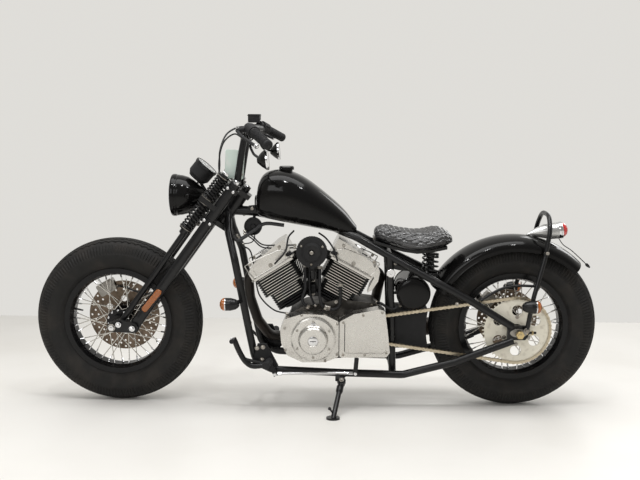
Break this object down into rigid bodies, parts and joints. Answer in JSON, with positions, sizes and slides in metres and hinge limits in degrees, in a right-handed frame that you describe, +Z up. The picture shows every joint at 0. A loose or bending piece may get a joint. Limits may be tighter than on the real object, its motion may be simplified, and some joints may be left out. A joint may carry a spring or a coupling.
{
  "type": "chopper motorcycle",
  "caption": "Rigid-frame chopper motorcycle with a springer fork, V-twin engine, wire wheels and solo saddle, leaning on its side stand.",
  "frame": {"origin": "bottom centre of the bounding box of the machine as it leans on its side stand", "axes": "+X from the front wheel to the rear wheel, +Y to the machine's right, +Z up; the machine leans 7 degrees to its left, towards -Y"},
  "size_m": [2.2889, 0.7428, 1.2006],
  "materials": {
    "amber_lens": "amber lens",
    "black_gloss": "deep gloss black paint",
    "black_matt": "matt black",
    "brake_steel": "ground steel",
    "cast_alloy": "bead blasted",
    "chain_steel": "oiled steel",
    "chrome_trim": "mirror chrome",
    "clear_lens": "clear lens",
    "cream_paint": "cream paint",
    "engine_black": "black heat paint with bright fin edges",
    "exhaust_black": "heat-tinted black",
    "frame_paint": "satin black paint",
    "grip_rubber": "ribbed rubber",
    "polished_alloy": "polished",
    "red_lens": "red lens",
    "seat_leather": "quilted black leather",
    "spring_black": "black coated wire",
    "tyre_rubber": "matt black rubber"
  },
  "bodies": {
    "chassis": {"rear_axle": "brake_steel", "frame_left_loop": "frame_paint", "frame_right_loop": "frame_paint", "frame_centre": "frame_paint", "engine_case": "cast_alloy", "alternator_cover": "polished_alloy", "sprocket_cover": "polished_alloy", "clutch_cover": "polished_alloy", "front_barrel": "engine_black", "rear_barrel": "engine_black", "front_head": "polished_alloy", "rear_head": "polished_alloy", "carburettor": "engine_black", "exhaust": "exhaust_black", "fuel_tank": "black_gloss", "tank_cap": "chrome_trim", "seat_cushion": "seat_leather", "seat_base": "frame_paint", "rear_fender": "black_gloss", "fender_hoop": "frame_paint", "tail_lamp": "chrome_trim", "tail_lens": "red_lens", "turn_signals": "frame_paint", "turn_signal_lenses": "amber_lens", "oil_can": "black_gloss", "battery_box": "black_matt", "ignition_switch": "chrome_trim", "horn": "chrome_trim", "chain": "chain_steel", "rear_caliper": "cast_alloy", "foot_controls_left": "black_matt", "foot_controls_right": "black_matt"},
    "steering": {"front_axle": "brake_steel", "front_caliper": "cast_alloy", "fork_trees": "frame_paint", "fork_legs": "frame_paint", "spring_legs": "frame_paint", "fork_rockers": "frame_paint", "fork_springs": "spring_black", "handlebar": "frame_paint", "grips": "grip_rubber", "hand_controls": "black_matt", "mirrors": "black_gloss", "headlight_shell": "black_gloss", "headlight_lens": "clear_lens", "speedometer": "black_matt"},
    "front_wheel": {"front_tyre": "tyre_rubber", "front_wire_wheel": "black_gloss", "front_brake_disc": "brake_steel"},
    "rear_wheel": {"rear_tyre": "tyre_rubber", "rear_wire_wheel": "black_gloss", "rear_brake_disc": "brake_steel", "rear_sprocket": "cream_paint"},
    "side_stand": {"stand_leg": "frame_paint"}
  },
  "joints": [
    {"name": "steering_turn", "type": "hinge", "parent": "chassis", "child": "steering", "pos_m": [-0.32553, 0.03081, 0.81389], "axis": [0.5976, -0.0977, 0.7958], "range_deg": [-30, 30]},
    {"name": "front_wheel_spin", "type": "hinge", "parent": "steering", "child": "front_wheel", "pos_m": [-0.8035, 0.08913, 0.33894], "axis": [0, 0.9925, 0.1219], "continuous": true},
    {"name": "rear_wheel_spin", "type": "hinge", "parent": "chassis", "child": "rear_wheel", "pos_m": [0.8065, 0.08949, 0.336], "axis": [0, 0.9925, 0.1219], "continuous": true},
    {"name": "side_stand_swing", "type": "hinge", "parent": "chassis", "child": "side_stand", "pos_m": [0.11245, -0.0367, 0.1165], "axis": [0, -0.6796, 0.7335], "range_deg": [0, 95]}
  ]
}
